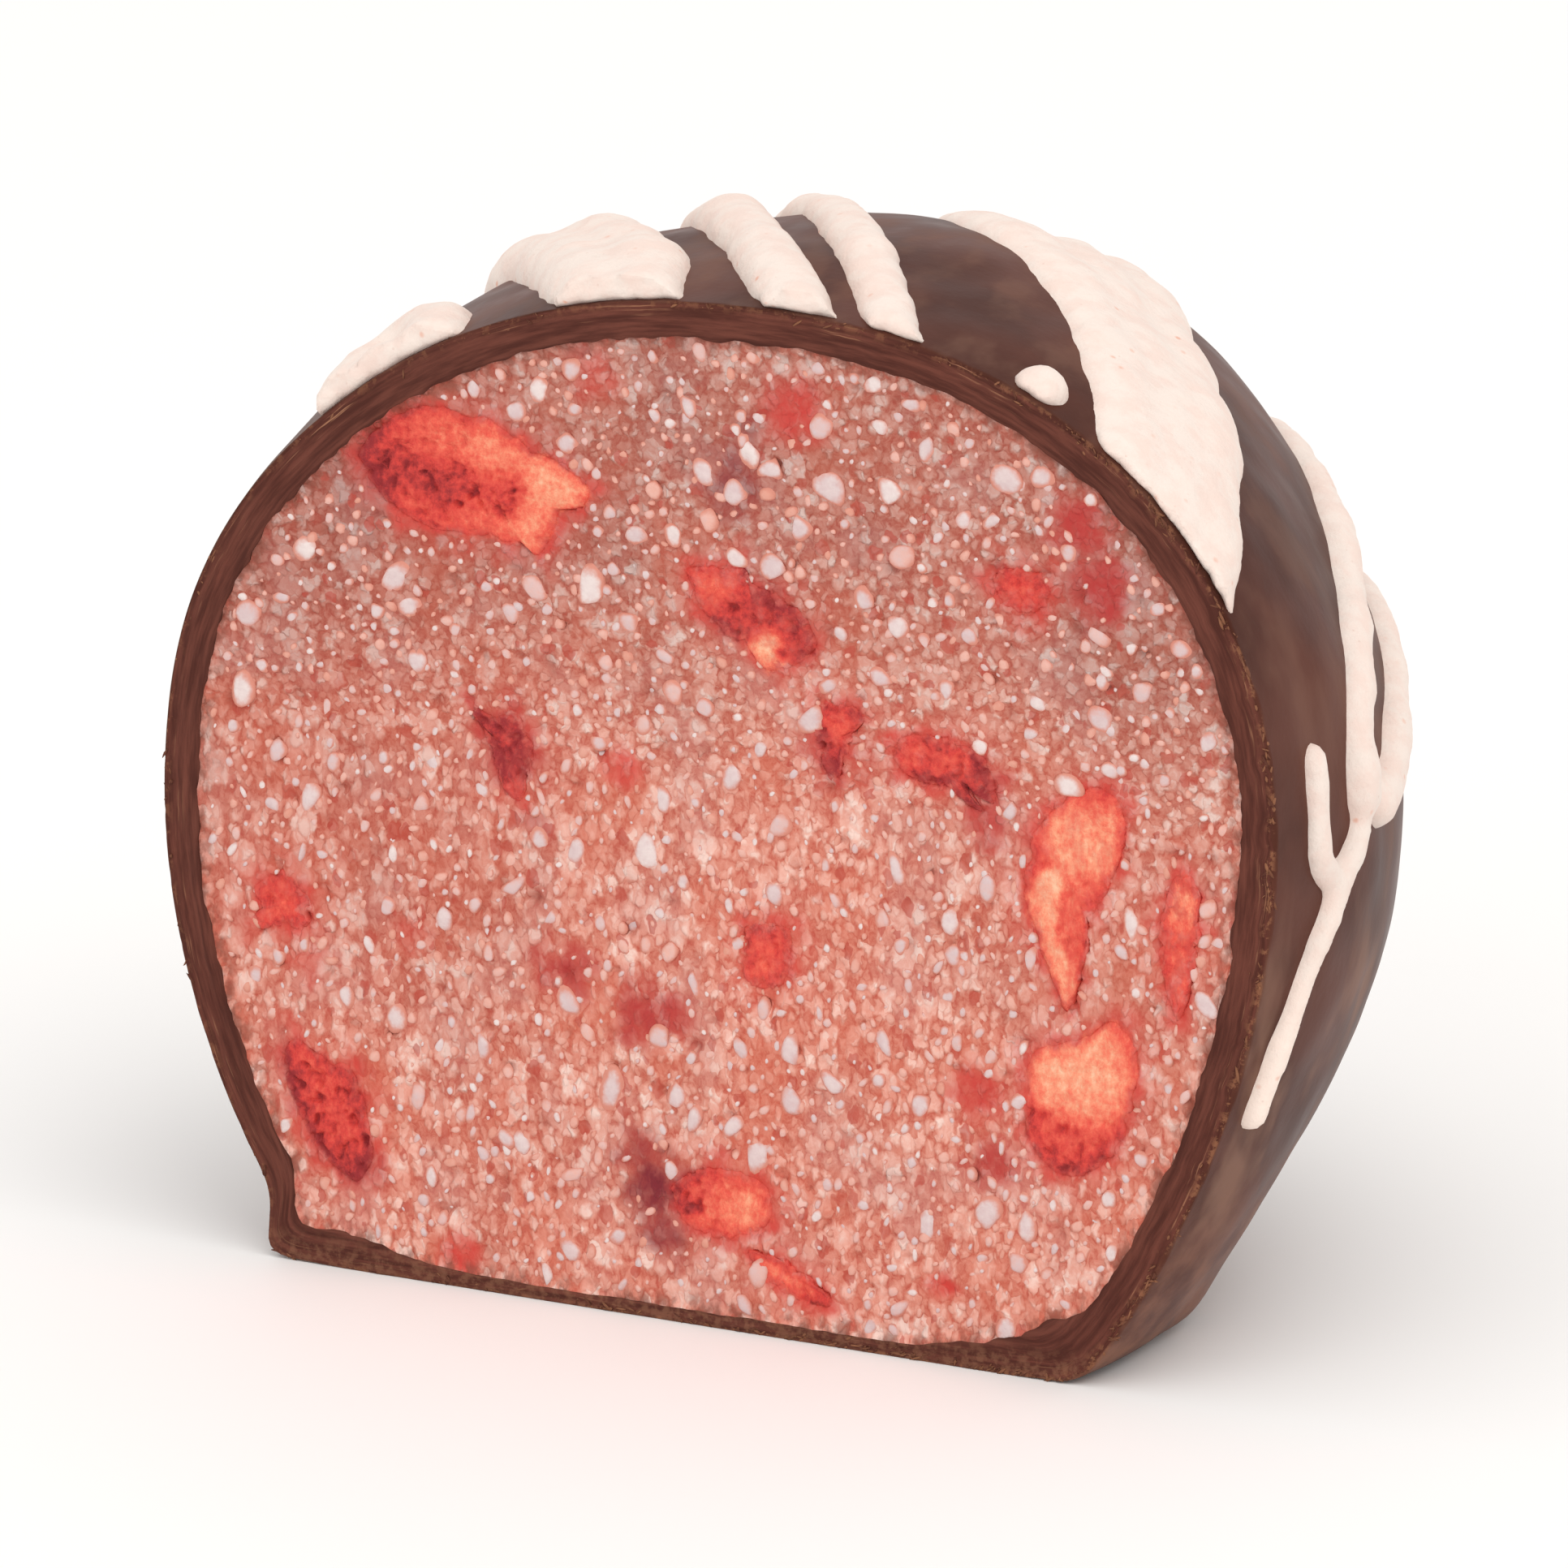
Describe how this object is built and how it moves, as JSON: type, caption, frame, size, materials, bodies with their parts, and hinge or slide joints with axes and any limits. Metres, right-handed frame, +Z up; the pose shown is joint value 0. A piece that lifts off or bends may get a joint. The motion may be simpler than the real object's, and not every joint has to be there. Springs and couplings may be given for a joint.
{
  "type": "strawberry truffle",
  "caption": "Cut half of a chocolate-coated truffle with a strawberry and nut paste inside and a white zigzag drizzle, standing on its flat base.",
  "frame": {"origin": "on the surface it stands on, under the middle of the whole piece's box", "axes": "+Z up, -Y straight out of the cut face, +X to the right of someone who looks at the cut face"},
  "size_m": [0.0353, 0.0218, 0.0308],
  "materials": {
    "chocolate": "satin dark chocolate coating",
    "white_drizzle": "matt white coating with a faint pink fleck",
    "strawberry_paste": "moist pink paste",
    "nut_grain": "cut nut grains",
    "dried_strawberry": "porous dried fruit"
  },
  "bodies": {
    "root": {"chocolate_shell": "chocolate", "strawberry_filling": "strawberry_paste", "strawberry_piece_01": "dried_strawberry", "strawberry_piece_02": "dried_strawberry", "strawberry_piece_03": "dried_strawberry", "strawberry_piece_04": "dried_strawberry", "strawberry_piece_05": "dried_strawberry", "strawberry_piece_06": "dried_strawberry", "strawberry_piece_07": "dried_strawberry", "strawberry_piece_08": "dried_strawberry", "strawberry_piece_09": "dried_strawberry", "strawberry_piece_10": "dried_strawberry", "strawberry_piece_11": "dried_strawberry", "strawberry_piece_12": "dried_strawberry", "strawberry_piece_13": "dried_strawberry", "strawberry_piece_14": "dried_strawberry"}
  },
  "joints": []
}
